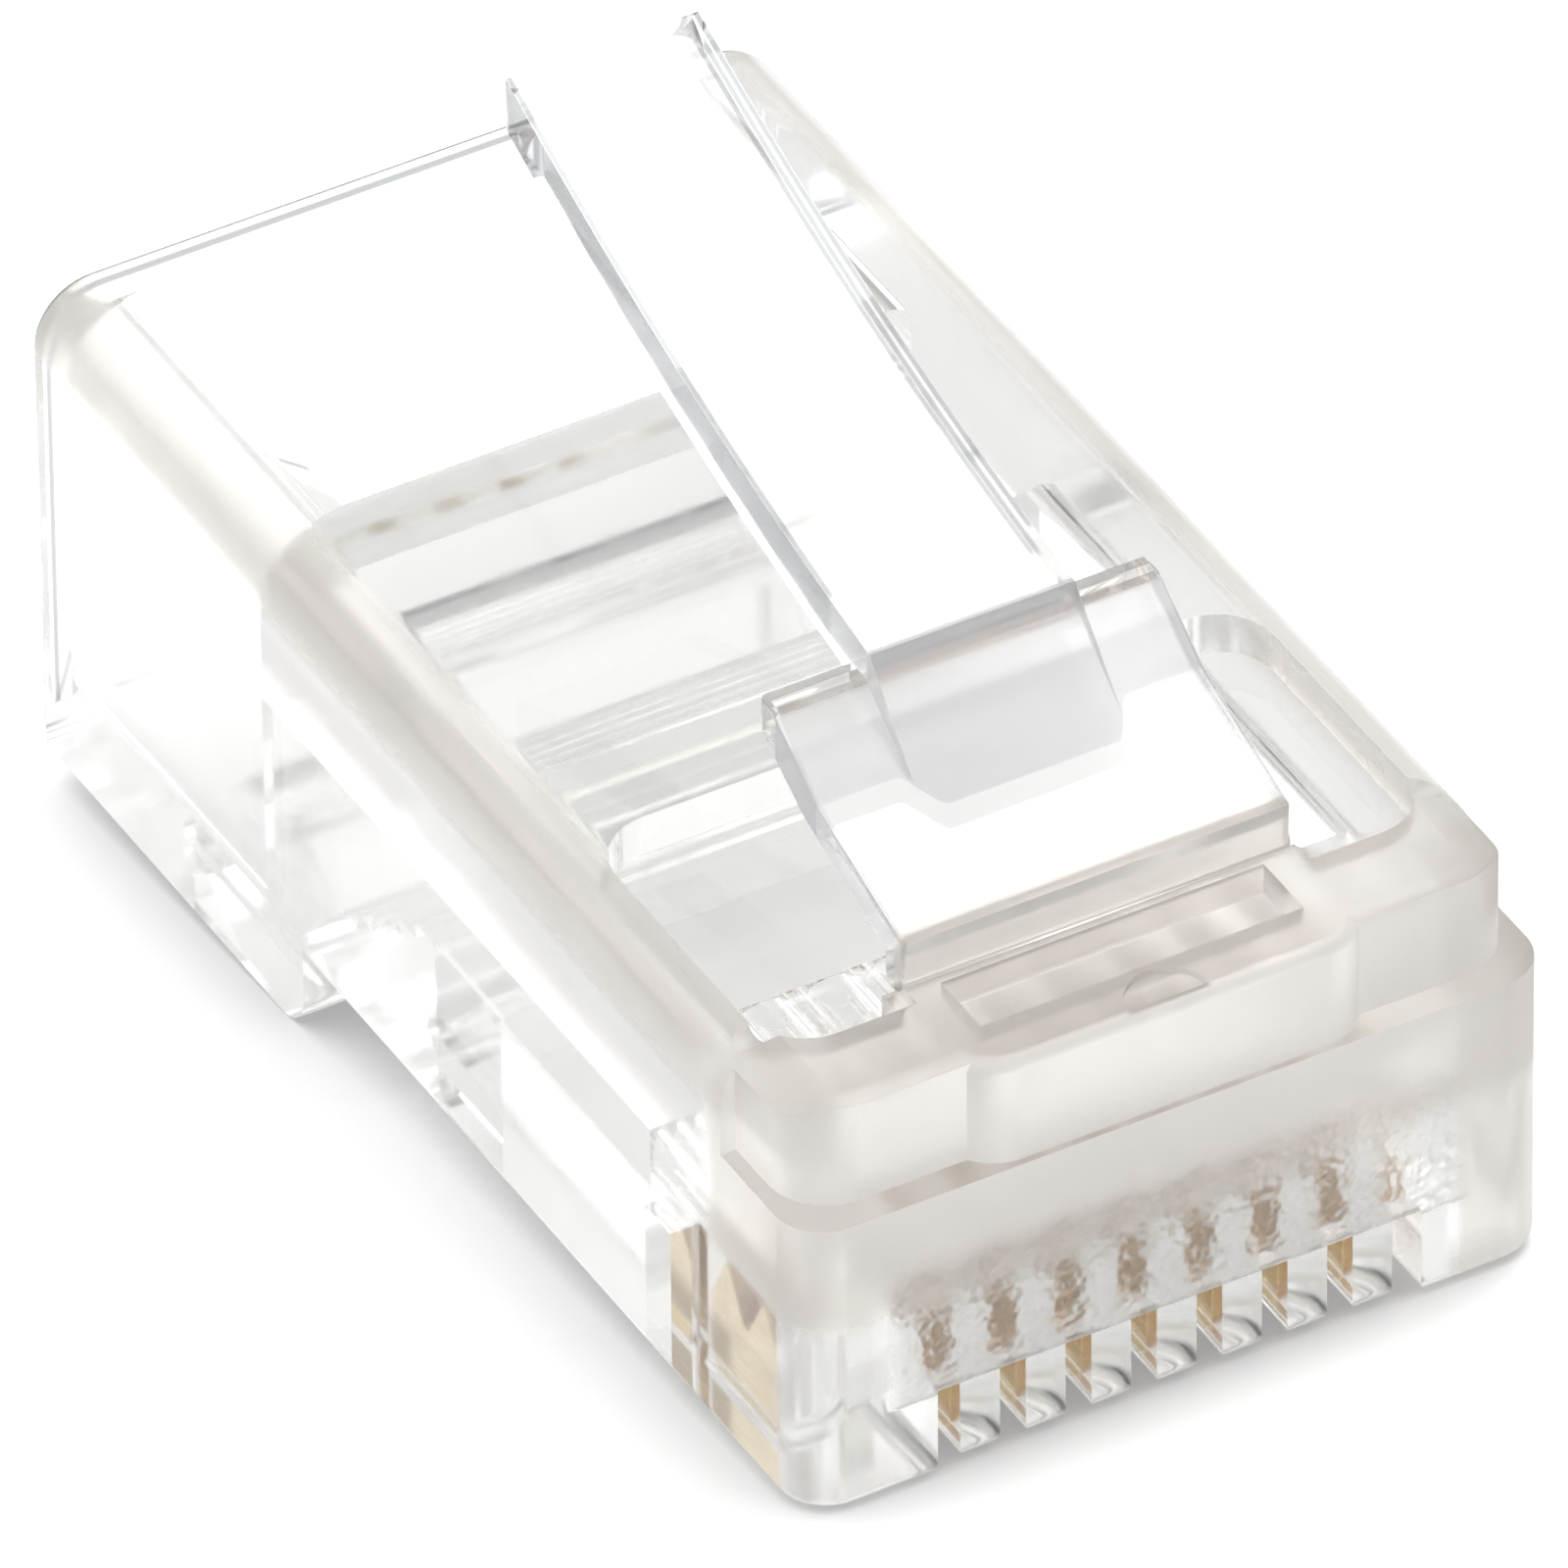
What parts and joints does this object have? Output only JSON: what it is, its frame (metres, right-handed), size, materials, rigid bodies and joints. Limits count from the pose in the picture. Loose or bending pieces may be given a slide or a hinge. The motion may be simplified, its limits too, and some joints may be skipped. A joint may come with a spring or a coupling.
{
  "type": "rj45 modular plug",
  "caption": "Clear modular cable plug with a sprung locking tab, a row of flat gold contacts at the nose and a square cable mouth.",
  "frame": {"origin": "middle of the footprint, level with the underside of the thick rear section", "axes": "+Y from the nose towards the cable mouth, +Z towards the locking tab, X across the plug"},
  "size_m": [0.0116, 0.0214, 0.0138],
  "materials": {
    "clear_moulding": "clear, glossy polycarbonate",
    "gold_contact": "gold-plated, satin"
  },
  "bodies": {
    "housing": {"housing": "clear_moulding"},
    "locking_tab": {"locking_tab": "clear_moulding"},
    "cable_clamp_bar": {"cable_clamp_bar": "clear_moulding"},
    "wire_clamp_bar": {"wire_clamp_bar": "clear_moulding"},
    "contact_1": {"contact_1": "gold_contact"},
    "contact_2": {"contact_2": "gold_contact"},
    "contact_3": {"contact_3": "gold_contact"},
    "contact_4": {"contact_4": "gold_contact"},
    "contact_5": {"contact_5": "gold_contact"},
    "contact_6": {"contact_6": "gold_contact"},
    "contact_7": {"contact_7": "gold_contact"},
    "contact_8": {"contact_8": "gold_contact"}
  },
  "joints": [
    {"name": "latch_press", "type": "hinge", "parent": "housing", "child": "locking_tab", "pos_m": [0, -0.00828, 0.00795], "axis": [-1, 0, 0], "range_deg": [0, 20], "stiffness_Nm_per_rad": 0.1},
    {"name": "cable_clamp_fold", "type": "hinge", "parent": "housing", "child": "cable_clamp_bar", "pos_m": [0, 0.00747, 0.00022], "axis": [-1, 0, 0], "range_deg": [0, 20]},
    {"name": "wire_clamp_fold", "type": "hinge", "parent": "housing", "child": "wire_clamp_bar", "pos_m": [0, 0.00027, 0.00182], "axis": [-1, 0, 0], "range_deg": [0, 15]},
    {"name": "contact_1_crimp", "type": "slide", "parent": "housing", "child": "contact_1", "axis": [0, 0, 1], "range_m": [0, 0.00075]},
    {"name": "contact_2_crimp", "type": "slide", "parent": "housing", "child": "contact_2", "axis": [0, 0, 1], "range_m": [0, 0.00075]},
    {"name": "contact_3_crimp", "type": "slide", "parent": "housing", "child": "contact_3", "axis": [0, 0, 1], "range_m": [0, 0.00075]},
    {"name": "contact_4_crimp", "type": "slide", "parent": "housing", "child": "contact_4", "axis": [0, 0, 1], "range_m": [0, 0.00075]},
    {"name": "contact_5_crimp", "type": "slide", "parent": "housing", "child": "contact_5", "axis": [0, 0, 1], "range_m": [0, 0.00075]},
    {"name": "contact_6_crimp", "type": "slide", "parent": "housing", "child": "contact_6", "axis": [0, 0, 1], "range_m": [0, 0.00075]},
    {"name": "contact_7_crimp", "type": "slide", "parent": "housing", "child": "contact_7", "axis": [0, 0, 1], "range_m": [0, 0.00075]},
    {"name": "contact_8_crimp", "type": "slide", "parent": "housing", "child": "contact_8", "axis": [0, 0, 1], "range_m": [0, 0.00075]}
  ]
}
